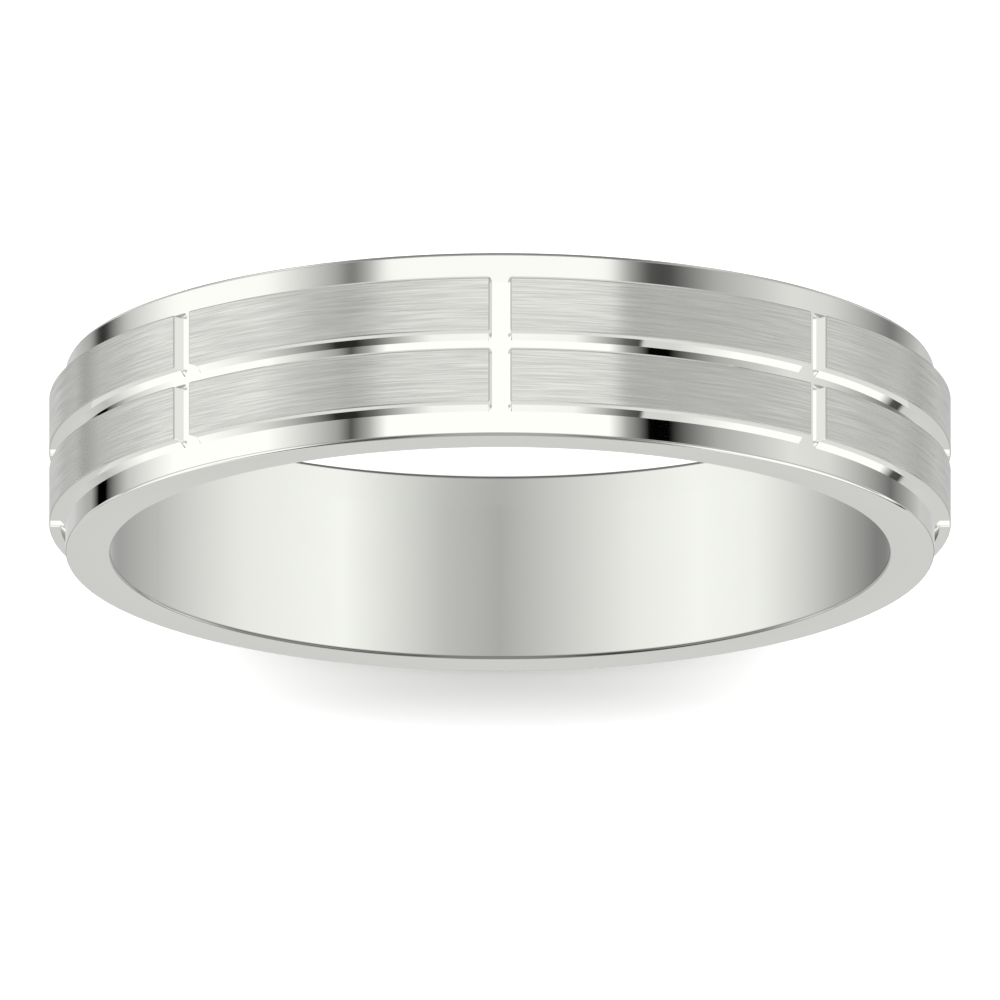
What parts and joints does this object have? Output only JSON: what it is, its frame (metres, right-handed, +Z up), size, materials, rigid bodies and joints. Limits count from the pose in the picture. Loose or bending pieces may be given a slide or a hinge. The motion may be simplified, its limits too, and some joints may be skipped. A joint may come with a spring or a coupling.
{
  "type": "wedding band",
  "caption": "Comfort-edged finger ring: plain polished band with flat rims, carrying two rows of raised brushed bricks divided by polished grooves.",
  "frame": {"origin": "centre of the bore, halfway across the width of the band", "axes": "+Y along the bore, from the front edge face to the back one; +Z up, through the cross groove at the top of the ring, which stands on edge; +X to the right seen from the front"},
  "size_m": [0.023, 0.0048, 0.023],
  "materials": {
    "polished_metal": "mirror polished white gold",
    "brushed_metal": "white gold, brushed round the band"
  },
  "bodies": {
    "root": {"base_band": "polished_metal", "front_brick_1": "brushed_metal", "front_brick_2": "brushed_metal", "front_brick_3": "brushed_metal", "front_brick_4": "brushed_metal", "front_brick_5": "brushed_metal", "front_brick_6": "brushed_metal", "front_brick_7": "brushed_metal", "front_brick_8": "brushed_metal", "back_brick_1": "brushed_metal", "back_brick_2": "brushed_metal", "back_brick_3": "brushed_metal", "back_brick_4": "brushed_metal", "back_brick_5": "brushed_metal", "back_brick_6": "brushed_metal", "back_brick_7": "brushed_metal", "back_brick_8": "brushed_metal"}
  },
  "joints": []
}
